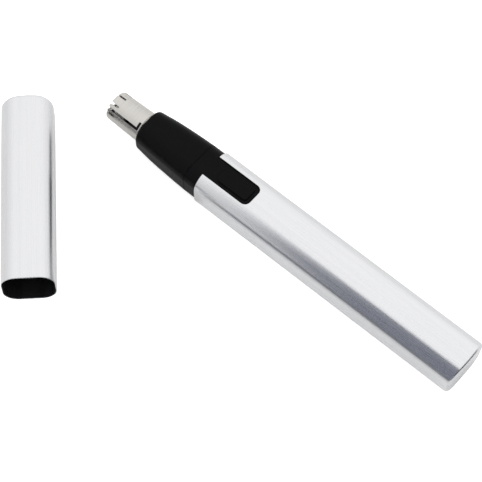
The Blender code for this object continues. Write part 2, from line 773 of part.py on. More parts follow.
def make_cutter():
    spindle = rod("cutter_spindle", SPINDLE_RADIUS, 2.2, 39.0, STEEL, CUTTER, steps=20)
    for side in (-1, 1):
        ups = sorted((side * TANG, side * 3.0))
        flat = box("tang_flat", ups, (-3.0, 3.0), (0.0, 3.9), None, CUTTER, collection=CUTTERS)
        boolean(spindle, flat)
    bore = SPINDLE_RADIUS + BORE_GAP
    ring("cutter_hub", bore, 2.4, 34.8, 39.2, WHITE_PLASTIC, CUTTER, steps=24)
    coil("cutter_spring", 27.4, 34.6, 1.9, 1.9, 0.25, 6, STEEL, CUTTER)
    outer = GUARD_TIP_RADIUS - GUARD_WALL - 0.25
    inner = outer - 0.4
    front = GUARD_TIP - GUARD_FRONT_WALL - RUNNING_GAP
    web_rear = front - 0.4
    rear = 33.0
    profile = [
        (outer, front),
        (outer, rear),
        (inner, rear),
        (inner, web_rear),
        (bore, web_rear),
        (bore, front),
    ]
    blade = turned("cutter_blade", profile, STEEL, CUTTER, closed=True)
    for index in range(4):
        window = box(
            "blade_window", (2.1, 6.0), (-2.0, 2.0), (rear - 1.0, front + 1.0), None, CUTTER,
            collection=CUTTERS,
        )
        window.rotation_euler.z = math.radians(45.0 + 90.0 * index)
        boolean(blade, window)
    ring("spindle_bush", bore, 3.1, 24.4, 27.1, BRASS, CHASSIS, steps=24)


def slot_outline(width, low, high, steps=4):
    """(side, along) outline with a round rear end, open past the tip."""
    points = [(width / 2, high), (-width / 2, high)]
    for step in range(2 * steps + 1):
        angle = math.pi + math.pi * step / (2 * steps)
        points.append((width / 2 * math.cos(angle), low + width / 2 + width / 2 * math.sin(angle)))
    return points


def make_guard():
    lip = 0.35
    inner_front = GUARD_TIP - GUARD_FRONT_WALL
    profile = [
        (0.0, GUARD_TIP),
        (GUARD_TIP_RADIUS - lip, GUARD_TIP),
        (GUARD_TIP_RADIUS - lip * 0.3, GUARD_TIP - lip * 0.3),
        (GUARD_TIP_RADIUS, GUARD_TIP - lip),
        (GUARD_BASE_RADIUS, GUARD_BASE),
        (GUARD_BASE_RADIUS - GUARD_WALL, GUARD_BASE),
        (GUARD_TIP_RADIUS - GUARD_WALL, inner_front),
        (0.0, inner_front),
    ]
    guard = turned("guard_sleeve", profile, STEEL, GUARD, steps=48)
    past_tip = GUARD_TIP + 2.0
    past_wall = 7.0
    within_wall = 3.6
    pitch = 360.0 / GUARD_SLOTS
    for index in range(GUARD_SLOTS):
        outline = slot_outline(SLOT_WIDTH, GUARD_TIP - SLOT_LENGTH, past_tip)
        slot = plate("guard_slot", outline, 1.9, past_wall, None, GUARD, CUTTERS)
        slot.rotation_euler.z = math.radians(FIRST_SLOT_ANGLE + pitch * index)
        boolean(guard, slot)
    leg_low = LEG_MIDDLE - LEG_HEIGHT / 2
    inlet_outline = slot_outline(INLET_WIDTH, leg_low, past_tip)
    inlet = plate("hair_inlet", inlet_outline, within_wall, past_wall, None, GUARD, CUTTERS)
    inlet.rotation_euler.z = math.radians(INLET_ANGLE)
    boolean(guard, inlet)
    outline = sector(within_wall, past_wall, INLET_ANGLE, PIN_ANGLE + 6.0, 6)
    leg = prism("bayonet_leg", outline, leg_low, leg_low + LEG_HEIGHT, None, GUARD, CUTTERS)
    boolean(guard, leg)


# ---------------------------------------------------------------- battery and wiring

def make_battery():
    shoulder = CELL_FRONT - CELL_NUB
    rear = CELL_FRONT - CELL_LENGTH
    nub = 1.9
    profile = [
        (0.0, CELL_FRONT),
        (nub, CELL_FRONT),
        (nub, shoulder),
        (CELL_RADIUS - 0.5, shoulder),
        (CELL_RADIUS, shoulder - 0.4),
        (CELL_RADIUS, rear + 0.3),
        (CELL_RADIUS - 0.4, rear),
        (0.0, rear),
    ]
    turned("battery_cell", profile, CELL_SLEEVE, CHASSIS)
    coil("battery_spring", -86.0, rear - 0.1, 3.8, 2.6, 0.3, 4, STEEL, CHASSIS)
    heights = (-3.6, 2.3)
    positive_ends = (CELL_FRONT + 0.15, CELL_FRONT + 0.45)
    box("positive_contact", heights, (-2.6, 2.6), positive_ends, ZINC, CHASSIS)
    box("negative_contact", heights, (-3.8, 3.8), (-86.5, -86.2), ZINC, CHASSIS)


def make_return_strip():
    """Flat strip on the tray's far rail, with a tab that reaches in under its contact."""
    inner = 6.0
    outer = 7.3
    rear = -86.4
    tab_side = 1.4
    tab_rear = -33.4
    tab_front = -30.6
    low = TRAY_TOP + 0.08
    outline = [
        (inner, rear),
        (outer, rear),
        (outer, tab_front),
        (tab_side, tab_front),
        (tab_side, tab_rear),
        (inner, tab_rear),
    ]
    plate("return_strip", outline, low, low + 0.3, ZINC, CHASSIS)


def make_leads():
    insulation = 0.35
    red = [
        (3.0, 0.0, -34.6),
        (3.4, 0.0, -32.0),
        (2.6, 0.4, -28.8),
        (1.4, 2.4, -26.6),
        (0.6, 3.2, -25.0),
    ]
    black = [
        (3.7, -2.1, -31.6),
        (3.9, -3.6, -30.0),
        (2.4, -4.0, -27.6),
        (0.6, -3.9, -25.2),
    ]
    wire("lead_red", smooth_route(red, 4), insulation, RED_WIRE, CHASSIS)
    wire("lead_black", smooth_route(black, 4), insulation, BLACK_WIRE, CHASSIS)


# ---------------------------------------------------------------- cap

def level_end(end, fillet, size, inset=0.0):
    """Rings over the rounded edge of a flat closed end, from its face to its side."""
    return [inset_ring(size, inset + more, end - depth) for depth, more in rounded_edge(fillet)]


def make_cap():
    size = (CAP_WIDTH, CAP_THICKNESS, CAP_FLAT)
    rings = raked_end(CAP_LENGTH, 1, CAP_FILLET, size, CAP_RAKE, CAP_BOW_RADIUS)
    rings.append(inset_ring(size, 0.0, 0.0))
    rings.append(inset_ring(size, CAP_WALL, 0.0))
    rings += reversed(level_end(CAP_LENGTH - CAP_WALL, CAP_FILLET - CAP_WALL, size, CAP_WALL))
    loft("cap_shell", rings, ALUMINIUM, CAP)

    outside = CAP_WALL + LINER_GAP
    inside = outside + LINER_WALL
    rings = level_end(CAP_LENGTH - outside, CAP_FILLET - outside, size, outside)
    rings.append(inset_ring(size, outside, LINER_SETBACK))
    rings.append(inset_ring(size, inside, LINER_SETBACK))
    rings += reversed(level_end(CAP_LENGTH - inside, CAP_FILLET - inside, size, inside))
    loft("cap_liner", rings, BLACK_PLASTIC, CAP)


def main():
    make_body_tube()
    make_switch_collar()
    make_chassis_screws()
    make_nose_cone()
    make_bayonet_ring()
    make_chassis_tray()
    make_switch()
    make_switch_contacts()
    make_motor_shell()
    make_rotor()
    make_drive_coupling()
    make_cutter()
    make_guard()
    make_battery()
    make_return_strip()
    make_leads()
    make_cap()


main()
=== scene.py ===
"""Looks of the battery nose hair trimmer and its cap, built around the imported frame.

Fine pieces are modelled in millimetres in a lathe frame, whose Z runs along the trimmer from
the rim of its body tube towards the tip, X is up and Y is to the far side.  The cap has the
same kind of frame, whose Z runs from its mouth to its closed end.
"""

import json
import math

import bmesh
import bpy
from mathutils import Matrix, Vector


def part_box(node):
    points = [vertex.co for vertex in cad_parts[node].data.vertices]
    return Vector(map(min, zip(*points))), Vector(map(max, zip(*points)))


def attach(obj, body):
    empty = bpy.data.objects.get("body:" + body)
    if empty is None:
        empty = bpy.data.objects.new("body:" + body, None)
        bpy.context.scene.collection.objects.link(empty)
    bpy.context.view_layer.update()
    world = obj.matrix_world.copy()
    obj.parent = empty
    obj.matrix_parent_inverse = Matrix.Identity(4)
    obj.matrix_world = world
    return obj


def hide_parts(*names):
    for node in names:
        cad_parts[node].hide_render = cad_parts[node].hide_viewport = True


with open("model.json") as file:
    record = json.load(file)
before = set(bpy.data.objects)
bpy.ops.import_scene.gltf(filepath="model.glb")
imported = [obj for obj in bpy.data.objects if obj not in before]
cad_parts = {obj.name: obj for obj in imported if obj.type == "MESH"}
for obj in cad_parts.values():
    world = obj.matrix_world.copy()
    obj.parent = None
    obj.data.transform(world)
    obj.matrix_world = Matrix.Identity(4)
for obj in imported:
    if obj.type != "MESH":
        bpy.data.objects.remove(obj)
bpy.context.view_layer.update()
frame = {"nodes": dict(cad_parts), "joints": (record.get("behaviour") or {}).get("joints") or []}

MM = 0.001
MICRON = 0.000001
NODES = frame["nodes"]

# ---------------------------------------------------------------- places and sizes from the frame

TUBE_LOW, TUBE_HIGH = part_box("body_tube")
RIM_X = TUBE_LOW.x
AXIS_Z = (TUBE_LOW.z + TUBE_HIGH.z) / 2
TUBE_WIDTH = (TUBE_HIGH.y - TUBE_LOW.y) / MM
TUBE_THICKNESS = (TUBE_HIGH.z - TUBE_LOW.z) / MM

# closed ends of tube and cap: (how far the top stands out beyond the bottom, radius of the bow)
TAIL_END = (1.25, 72.0)
CAP_CLOSED_END = (1.5, 26.0)
LEVEL_END = (0.0, math.inf)
TAIL_FILLET = 1.1
CAP_FILLET = 1.3


def stand_out(up, side, end):
    """How far a closed end stands out at a point, beyond its bottom edge."""
    rake, bow_radius = end
    return (up / TUBE_THICKNESS + 0.5) * (rake - side ** 2 / (2 * bow_radius))


def straight_length(low, high, fillet, end):
    """Length to the bottom of a closed end, of a cup that runs from low to high in metres."""
    return (high - low) / MM - stand_out(TUBE_THICKNESS / 2 - fillet, 0.0, end)


TUBE_LENGTH = straight_length(TUBE_LOW.x, TUBE_HIGH.x, TAIL_FILLET, TAIL_END)


def ahead(x):
    """Distance of a row-frame x ahead of the tube's rim, in millimetres."""
    return (RIM_X - x) / MM


def reach(node):
    """How far a node on the trimmer runs along it, as (rear, front) ahead of the rim."""
    low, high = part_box(node)
    return ahead(high.x), ahead(low.x)


def girth(node):
    """Width and thickness of a node on the trimmer, in millimetres."""
    low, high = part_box(node)
    return (high.y - low.y) / MM, (high.z - low.z) / MM


def span(node, direction):
    """Lowest and highest place of a node along a direction, in metres."""
    places = [direction.dot(vertex.co) for vertex in NODES[node].data.vertices]
    return min(places), max(places)


UPRIGHT = Matrix.Rotation(-math.pi / 2, 4, "Y")
LATHE = Matrix.Translation((RIM_X, 0.0, AXIS_Z)) @ UPRIGHT

# the cap's own frame, from the joint it slides on and from the CAD's cap_shell
CAP_OUT = -Vector(next(j["axis"] for j in frame["joints"] if j["name"] == "cap_push_on"))
CAP_SIDE = Vector((-CAP_OUT.y, CAP_OUT.x, 0.0))
CAP_MOUTH, CAP_END = span("cap_shell", CAP_OUT)
CAP_EDGES = span("cap_shell", CAP_SIDE)
CAP_LENGTH = straight_length(CAP_MOUTH, CAP_END, CAP_FILLET, CAP_CLOSED_END)
CAP_WIDTH = (CAP_EDGES[1] - CAP_EDGES[0]) / MM
CAP_LOW, CAP_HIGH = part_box("cap_shell")
CAP_THICKNESS = (CAP_HIGH.z - CAP_LOW.z) / MM
CAP_PLACE = CAP_OUT * CAP_MOUTH + CAP_SIDE * sum(CAP_EDGES) / 2
CAP_PLACE.z = (CAP_LOW.z + CAP_HIGH.z) / 2
CAP_TURN = math.atan2(CAP_OUT.y, CAP_OUT.x) - math.pi
CAP_LATHE = Matrix.Translation(CAP_PLACE) @ Matrix.Rotation(CAP_TURN, 4, "Z") @ UPRIGHT

# oval section: width of its flat front and back, and how far its side flats cut into it
FLAT = 7.8
SIDE_CUT = 0.6
POCKET_CUT = 0.3
# its shoulders: the share of the flats they reach into, the power of their curve (2 is an
# ellipse), and the share of a shoulder's start by which the corners at the side flats are eased
FLAT_EASE = 0.25
FULLNESS = 2.4
CORNER_EASE = 0.42
CORNER_STEPS = 6

# tube and tongue
WALL = 0.5
LIP = 0.12
TONGUE_WIDTH = 7.8
TONGUE_LENGTH = 17.5
TONGUE_CORNER = 1.9
NOTCH_GAP = 0.15

# collar, which starts just ahead of the rim and ends at the seam with the cone
SEAM = 0.08
COLLAR_REAR = 0.15
COLLAR_LENGTH = reach("nose_cone")[0] - SEAM
COLLAR_WIDTH, COLLAR_THICKNESS = girth("nose_cone")
SPIGOT_LENGTH = 4.0
BOSS_FLAT = 7.4

# front face of the bayonet ring's flange, just behind the guard
SEAT = reach("guard_sleeve")[0] - 0.2


# ---------------------------------------------------------------- camera, floor and light

CAMERA_AZIMUTH = math.radians(40.62)
CAMERA_ELEVATION = math.radians(63.11)
CAMERA_DISTANCE = 0.580
CAMERA_LENS = 138.0
# the point of the floor that the camera looks at, from the middle of the tube's rim
CAMERA_AIM = Vector((0.01933, -0.00822, 0.0))


def make_camera():
    """The camera, at its viewing angle and distance from a point near the rim."""
    back = Vector((
        math.sin(CAMERA_AZIMUTH) * math.cos(CAMERA_ELEVATION),
        -math.cos(CAMERA_AZIMUTH) * math.cos(CAMERA_ELEVATION),
        math.sin(CAMERA_ELEVATION),
    ))
    data = bpy.data.cameras.new("camera")
    data.lens = CAMERA_LENS
    data.sensor_width = 36.0
    data.clip_start = 0.01
    camera = bpy.data.objects.new("camera", data)
    camera.location = Vector((RIM_X, 0.0, 0.0)) + CAMERA_AIM + back * CAMERA_DISTANCE
    camera.rotation_mode = "QUATERNION"
    camera.rotation_quaternion = (-back).to_track_quat("-Z", "Y")
    bpy.context.scene.collection.objects.link(camera)
    bpy.context.scene.camera = camera


class Graph:
    """Adds nodes to one node tree and links them."""

    def __init__(self, tree):
        self.tree = tree

    def add(self, kind, settings=None, **inputs):
        """A node with its settings; an input is a value or another node's output socket."""
        node = self.tree.nodes.new(kind)
        for name, value in (settings or {}).items():
            setattr(node, name, value)
        for name, value in inputs.items():
            self.feed(node, name.replace("_", " "), value)
        return node

    def feed(self, node, name, value):
        """Link or set one input, given by its name or number."""
        socket = node.inputs[name]
        if isinstance(value, bpy.types.NodeSocket):
            self.tree.links.new(value, socket)
        else:
            socket.default_value = value

    def coordinates(self, scale):
        """Object coordinates, stretched per axis, in cells per metre."""
        place = self.add("ShaderNodeTexCoord").outputs["Object"]
        return self.add("ShaderNodeMapping", Vector=place, Scale=scale).outputs["Vector"]

    def noise(self, scale, detail=3.0):
        """Noise over the object, whose cells per metre differ along its axes."""
        place = self.coordinates(scale)
        node = self.add("ShaderNodeTexNoise", Vector=place, Scale=1.0, Detail=detail, Roughness=0.5)
        return node.outputs["Fac"]

    def spread(self, value, low, high, source=(0.3, 0.7)):
        """The value, carried from the source range to low..high and held there."""
        node = self.add("ShaderNodeMapRange", {"clamp": True}, Value=value)
        for name, limit in zip(("From Min", "From Max", "To Min", "To Max"), (*source, low, high)):
            self.feed(node, name, limit)
        return node.outputs["Result"]

    def weigh(self, value, factor, rest):
        """value * factor + rest."""
        node = self.add("ShaderNodeMath", {"operation": "MULTIPLY_ADD"})
        for index, item in enumerate((value, factor, rest)):
            self.feed(node, index, item)
        return node.outputs[0]

    def blend(self, factor, first, second):
        """A mix of two colours; the inputs are addressed by number, as their names repeat."""
        node = self.add("ShaderNodeMix", {"data_type": "RGBA"})
        self.feed(node, 0, factor)
        self.feed(node, 6, first)
        self.feed(node, 7, second)
        return node.outputs[2]

    def bump(self, height, depth):
        """A normal from a height of 0 to 1, as deep as the depth in metres."""
        node = self.add("ShaderNodeBump", Height=height, Distance=depth, Strength=1.0)
        return node.outputs["Normal"]


# strength of the room from below the horizon to straight up, and how much the far side adds
ROOM_STRENGTH = (0.95, 1.38)
ROOM_RISE = (-0.1, 1.05)
FAR_SIDE_SHARE = 0.3

WHITE = (1.0, 1.0, 1.0)
UPWARDS = (0.0, 0.0, 1.0)


def make_world():
    """A white room that brightens upwards and towards the far side."""
    world = bpy.data.worlds.new("studio")
    bpy.context.scene.world = world
    world.use_nodes = True
    graph = Graph(world.node_tree)
    direction = graph.add("ShaderNodeTexCoord").outputs["Generated"]
    split = graph.add("ShaderNodeSeparateXYZ", Vector=direction)
    rise = graph.weigh(split.outputs["Y"], FAR_SIDE_SHARE, split.outputs["Z"])
    background = world.node_tree.nodes["Background"]
    graph.feed(background, "Color", (*WHITE, 1.0))
    graph.feed(background, "Strength", graph.spread(rise, *ROOM_STRENGTH, source=ROOM_RISE))


def plain_sheet(name, size, colour, glow, roughness=0.5):
    """A flat rectangle round the origin in a plain matt colour, which may glow."""
    bm = bmesh.new()
    bmesh.ops.create_grid(bm, x_segments=1, y_segments=1, size=0.5)
    bmesh.ops.scale(bm, vec=(*size, 1.0), verts=bm.verts)
    mesh = bpy.data.meshes.new(name)
    bm.to_mesh(mesh)
    bm.free()
    sheet = bpy.data.objects.new(name, mesh)
    bpy.context.scene.collection.objects.link(sheet)
    material = bpy.data.materials.new(name)
    material.use_nodes = True
    shader = material.node_tree.nodes["Principled BSDF"]
    shader.inputs["Base Color"].default_value = (*colour, 1.0)
    shader.inputs["Roughness"].default_value = roughness
    shader.inputs["Specular IOR Level"].default_value = 0.0
    shader.inputs["Emission Color"].default_value = (*WHITE, 1.0)
    shader.inputs["Emission Strength"].default_value = glow
    mesh.materials.append(material)
    return sheet


def make_card(name, centre, size, facing, colour, glow=0.0):
    """A card that only shows as a reflection, placed and sized in metres."""
    card = plain_sheet(name, size, colour, glow)
    card.rotation_mode = "QUATERNION"
    card.rotation_quaternion = Vector(facing).to_track_quat("Z", "Y")
    card.location = centre
    card.visible_camera = False
    card.visible_diffuse = False
    card.visible_shadow = False


def make_stage():
    """Pale floor, and the cards that the metal mirrors."""
    floor = plain_sheet("floor", (6.0, 6.0), (0.97, 0.97, 0.97), 0.55, roughness=0.9)
    floor.location.z = -0.02 * MM

    # the floor is lit from below, and the sides of the tube mirror a plainer sheet on top of it
    make_card("sheet", (0.0, 0.0, 0.05 * MM), (1.6, 1.6), UPWARDS, (0.86, 0.86, 0.86))
    # a lit strip beside the tube, for the flat of its near side
    middle = (TUBE_LOW.x + TUBE_HIGH.x) / 2
    make_card(
        "strip", (middle, -0.012, 0.1 * MM), (0.10, 0.0075), UPWARDS, (0.9, 0.9, 0.9), glow=0.13,
    )
    # the dark side of the room, which the near side of the tube mirrors, and a card off the tail
    make_card(
        "near_sheet", (0.11, -0.1555, 0.15 * MM), (0.33, 0.259), UPWARDS, (0.17, 0.175, 0.205),
    )
    make_card(
        "near_card", (0.0845, -0.125, 0.165), (0.329, 0.426), (0.0, 0.774, -0.633),
        (0.145, 0.153, 0.19),
    )
    make_card(
        "tail_card", (0.36, -0.02, 0.14), (0.60, 0.28), (-1.0, 0.0, 0.0), (0.02, 0.02, 0.022),
    )
    bpy.context.scene.view_settings.view_transform = "Standard"


# ---------------------------------------------------------------- materials

def new_material(name, roughness, metallic, specular=0.5):
    """A material with its graph and its shader, whose uniform values are set."""
    material = bpy.data.materials.new(name)
    material.use_nodes = True
    shader = material.node_tree.nodes["Principled BSDF"]
    shader.inputs["Metallic"].default_value = metallic
    shader.inputs["Roughness"].default_value = roughness
    shader.inputs["Specular IOR Level"].default_value = specular
    return material, Graph(material.node_tree), shader


def grained(name, dark, light, grain, roughness, metallic, depth, specular=0.5, detail=3.0):
    """A material with one grain, which drives its colour, roughness and bump.

    grain is the size of its cells along X, Y and Z, in millimetres, and depth is in metres. A
    broader grain of the same kind, six times the size, shades the fine one.
    """
    material, graph, shader = new_material(name, roughness[0], metallic, specular)
    cells = [1.0 / (size * MM) for size in grain]
    fine = graph.noise(cells, detail)
    broad = graph.noise([value / 6.0 for value in cells], 2.0)
    mixed = graph.weigh(broad, 0.5, graph.weigh(fine, 0.5, 0.0))
    colour = graph.blend(graph.spread(mixed, 0.0, 1.0), (*dark, 1.0), (*light, 1.0))
    graph.feed(shader, "Base Color", colour)
    graph.feed(shader, "Roughness", graph.spread(mixed, *roughness))
    graph.feed(shader, "Normal", graph.bump(fine, depth))
    return material


def steel_with_painted_shade(seat):
    """Steel whose part ahead of the seat, inside the guard, is darkened by painted shade."""
    material, graph, shader = new_material("ring_steel_painted_shade", 0.24, 1.0)
    place = graph.add("ShaderNodeTexCoord").outputs["Object"]
    along = graph.add("ShaderNodeSeparateXYZ", Vector=place).outputs["Z"]
    # painted shade: the part of the ring inside the guard is marked out by its place along the axis
    painted_shade_mask = graph.spread(along, 0.0, 1.0, source=(seat * MM, (seat + 0.05) * MM))
    grain = graph.noise([300.0, 300.0, 8000.0])
    tone = graph.spread(grain, 0.0, 1.0)
    bright = graph.blend(tone, (0.56, 0.55, 0.53, 1.0), (0.66, 0.65, 0.63, 1.0))
    # painted shade: near-black tones for the part inside the guard, as if it lay in shade
    dark = graph.blend(tone, (0.010, 0.010, 0.011, 1.0), (0.022, 0.022, 0.023, 1.0))
    graph.feed(shader, "Base Color", graph.blend(painted_shade_mask, bright, dark))
    graph.feed(shader, "Roughness", graph.spread(grain, 0.2, 0.3))
    graph.feed(shader, "Normal", graph.bump(grain, 0.8 * MICRON))
    return material


def make_materials():
    """Every material of the object, by the key that the pieces use."""
    made = {}
    # the ring's steel carries painted shade where it sits inside the guard
    made["ring_steel_painted_shade"] = steel_with_painted_shade(SEAT + 0.05)
    made["aluminium"] = grained(
        "satin_aluminium", (0.595, 0.60, 0.612), (0.645, 0.648, 0.656),
        grain=(0.35, 0.35, 26.0), roughness=(0.24, 0.31),
        metallic=1.0, depth=1.6 * MICRON, detail=4.0,
    )
    made["black_plastic"] = grained(
        "black_plastic", (0.0020, 0.0020, 0.0024), (0.0036, 0.0036, 0.0041),
        grain=(0.18, 0.18, 0.18), roughness=(0.27, 0.35),
        metallic=0.0, depth=1.0 * MICRON, specular=0.05,
    )
    made["inner_black"] = grained(
        "inner_black_plastic", (0.010, 0.010, 0.011), (0.020, 0.020, 0.021),
        grain=(0.3, 0.3, 0.3), roughness=(0.45, 0.6),
        metallic=0.0, depth=3.0 * MICRON, specular=0.35,
    )
    made["liner"] = grained(
        "cap_lining", (0.004, 0.004, 0.0045), (0.010, 0.010, 0.011),
        grain=(0.5, 0.5, 1.5), roughness=(0.55, 0.7),
        metallic=0.0, depth=4.0 * MICRON, specular=0.15,
    )
    made["steel"] = grained(
        "guard_steel", (0.47, 0.456, 0.432), (0.535, 0.52, 0.495),
        grain=(3.0, 3.0, 0.12), roughness=(0.20, 0.30), metallic=1.0, depth=0.8 * MICRON,
    )
    made["turned_steel"] = grained(
        "turned_steel", (0.40, 0.40, 0.40), (0.50, 0.50, 0.495),
        grain=(0.12, 3.0, 3.0), roughness=(0.18, 0.30), metallic=1.0, depth=0.8 * MICRON,
    )
    # painted shade: the cutter blade inside the guard gets near-black steel tones, as if it lay in
    # shade
    made["cutter_steel_painted_shade"] = grained(
        "cutter_steel_painted_shade", (0.030, 0.030, 0.032), (0.075, 0.075, 0.078),
        grain=(0.12, 3.0, 3.0), roughness=(0.25, 0.36), metallic=1.0, depth=0.8 * MICRON,
    )
    made["zinc"] = grained(
        "zinc_plate", (0.52, 0.53, 0.55), (0.66, 0.67, 0.68),
        grain=(0.8, 0.8, 0.8), roughness=(0.26, 0.42), metallic=1.0, depth=2.0 * MICRON,
    )
    made["brass"] = grained(
        "brass", (0.62, 0.44, 0.17), (0.80, 0.62, 0.30),
        grain=(0.5, 1.5, 1.5), roughness=(0.22, 0.36), metallic=1.0, depth=1.5 * MICRON,
    )
    made["copper"] = grained(
        "copper", (0.58, 0.28, 0.15), (0.80, 0.46, 0.30),
        grain=(0.6, 0.6, 0.6), roughness=(0.22, 0.40), metallic=1.0, depth=1.5 * MICRON,
    )
    made["ferrite"] = grained(
        "ferrite", (0.030, 0.030, 0.033), (0.075, 0.075, 0.08),
        grain=(0.15, 0.15, 0.15), roughness=(0.6, 0.8), metallic=0.0, depth=12.0 * MICRON,
    )
    made["white"] = grained(
        "white_plastic", (0.72, 0.715, 0.69), (0.82, 0.815, 0.79),
        grain=(0.4, 0.4, 0.4), roughness=(0.38, 0.5), metallic=0.0, depth=3.0 * MICRON,
    )
    made["red"] = grained(
        "red_insulation", (0.42, 0.016, 0.012), (0.62, 0.035, 0.028),
        grain=(0.6, 0.3, 0.3), roughness=(0.36, 0.5), metallic=0.0, depth=4.0 * MICRON,
    )
    made["black_wire"] = grained(
        "black_insulation", (0.010, 0.010, 0.011), (0.024, 0.024, 0.026),
        grain=(0.6, 0.3, 0.3), roughness=(0.36, 0.5), metallic=0.0, depth=4.0 * MICRON,
    )
    made["sleeve"] = grained(
        "cell_sleeve", (0.035, 0.11, 0.26), (0.055, 0.15, 0.33),
        grain=(6.0, 0.8, 0.8), roughness=(0.20, 0.30), metallic=0.0, depth=3.0 * MICRON,
    )
    return made


# ---------------------------------------------------------------- mesh helpers (millimetres)

SHARP_EDGE = math.radians(32.0)


def from_bmesh(name, bm, lathe):
    """An object in a lathe frame, from a bmesh in millimetres."""
    bmesh.ops.recalc_face_normals(bm, faces=bm.faces)
    bmesh.ops.scale(bm, vec=(MM, MM, MM), verts=bm.verts)
    mesh = bpy.data.meshes.new(name)
    bm.to_mesh(mesh)
    bm.free()
    obj = bpy.data.objects.new(name, mesh)
    obj.matrix_world = lathe
    bpy.context.scene.collection.objects.link(obj)
    return obj


def oval(width, thickness, flat, cut, steps=24, flat_steps=8):
    """Flat front, back and sides joined by round shoulders, as (up, side) points.

    The corners between the side flats and the shoulders are eased by a short curve.
    """
    half_flat = flat / 2 * (1.0 - FLAT_EASE)
    side_axis = width / 2 + cut - half_flat
    corner = math.acos(((side_axis - cut) / side_axis) ** (FULLNESS / 2))
    first = corner * (1.0 + CORNER_EASE)

    def shoulder(angle):
        out = max(math.cos(angle), 0.0) ** (2 / FULLNESS)
        return Vector((thickness / 2 * math.sin(angle), side_axis * out))

    middle, end = shoulder(corner), shoulder(first)
    start = Vector((2 * middle.x - end.x, middle.y))
    eased = []
    for step in range(CORNER_STEPS):
        share = step / CORNER_STEPS
        eased.append(start.lerp(middle, share).lerp(middle.lerp(end, share), share))
    rising = [shoulder(first + (math.pi / 2 - first) * step / steps) for step in range(steps + 1)]
    quarter = eased + rising
    points = []
    for sign in (1, -1):
        centre = sign * half_flat
        points += [(-sign * up, centre + sign * out) for up, out in reversed(quarter)]
        points += [(sign * up, centre + sign * out) for up, out in quarter]
        for step in range(1, flat_steps):
            points.append((sign * thickness / 2, centre * (1 - 2 * step / flat_steps)))
    return points


def loft(name, rings, lathe):
    """Skin between rings of (up, side, along) points, capped at both ends."""
    bm = bmesh.new()
    loops = [[bm.verts.new(point) for point in ring] for ring in rings]
    for first, second in zip(loops, loops[1:]):
        count = len(first)
        for index in range(count):
            after = (index + 1) % count
            bm.faces.new((first[index], first[after], second[after], second[index]))
    bm.faces.new(loops[0])
    bm.faces.new(loops[-1])
    return from_bmesh(name, bm, lathe)


def oval_loft(name, stations, lathe):
    """Loft through ovals given as (along, width, thickness, flat, cut)."""
    rings = [[(up, side, along) for up, side in oval(*section)] for along, *section in stations]
    return loft(name, rings, lathe)


def inset_ring(size, inset, along):
    """An oval drawn in by the inset, as (up, side, along) points; size is (width, thickness)."""
    outline = oval(size[0] - 2 * inset, size[1] - 2 * inset, FLAT, SIDE_CUT)
    return [(up, side, along) for up, side in outline]


def plate(name, layers, lathe):
    """A plate whose (side, along) outline is given at each height, as (up, outline) layers."""
    rings = [[(up, side, along) for side, along in outline] for up, outline in layers]
    return loft(name, rings, lathe)


def turned(name, profile, lathe, steps=96):
    """A profile of (radius, along) points spun about the lathe's Z; those on it are poles."""
    bm = bmesh.new()
    rings = []
    for radius, along in profile:
        if radius < 1e-6:
            rings.append([bm.verts.new((0.0, 0.0, along))])
            continue
        ring = []
        for step in range(steps):
            angle = 2 * math.pi * step / steps
            ring.append(bm.verts.new((radius * math.cos(angle), radius * math.sin(angle), along)))
        rings.append(ring)
    pairs = list(zip(rings, rings[1:]))
    if len(rings[0]) > 1:
        pairs.append((rings[-1], rings[0]))
    for first, second in pairs:
        for index in range(steps):
            after = (index + 1) % steps
            if len(first) == 1:
                bm.faces.new((first[0], second[after], second[index]))
            elif len(second) == 1:
                bm.faces.new((first[index], first[after], second[0]))
            else:
                bm.faces.new((first[index], first[after], second[after], second[index]))
    return from_bmesh(name, bm, lathe)


def block(name, ups, sides, alongs, lathe):
    """A box between two heights, two sides and two places along the lathe."""
    (left, right), (rear, front) = sides, alongs
    outline = [(left, rear), (right, rear), (right, front), (left, front)]
    return plate(name, [(ups[0], outline), (ups[1], outline)], lathe)


def combine(target, tool, operation="DIFFERENCE"):
    """Boolean the tool into the target's mesh and drop the tool."""
    step = target.modifiers.new("combine", "BOOLEAN")
    step.operation = operation
    step.solver = "EXACT"
    step.object = tool
    bpy.context.view_layer.update()
    evaluated = target.evaluated_get(bpy.context.evaluated_depsgraph_get())
    result = bpy.data.meshes.new_from_object(evaluated)
    target.modifiers.remove(step)
    target.data = result
    bpy.data.objects.remove(tool, do_unlink=True)


def finish_piece(obj, material, body, nodes):
    """Shade a piece, give it its material, put it in its body and hide the nodes it stands in for.
    """
    mesh = obj.data
    mesh.materials.clear()
    mesh.materials.append(material)
    for face in mesh.polygons:
        face.material_index = 0
    mesh.shade_smooth()
    mesh.set_sharp_from_angle(angle=SHARP_EDGE)
    weighted = obj.modifiers.new("normals", "WEIGHTED_NORMAL")
    weighted.keep_sharp = True
    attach(obj, body)
    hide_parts(*nodes)


def arc(centre, radius, start, end, steps):
    """Points of an arc of (x, y), in degrees."""
    points = []
    for step in range(steps + 1):
        angle = math.radians(start + (end - start) * step / steps)
        points.append((centre[0] + radius * math.cos(angle), centre[1] + radius * math.sin(angle)))
    return points


def rounded_edge(radius, steps=5):
    """(distance from the end face, inset) pairs round an edge, from the face to the side."""
    return [(radius - x, radius - y) for x, y in arc((0.0, 0.0), radius, 0.0, 90.0, steps)]


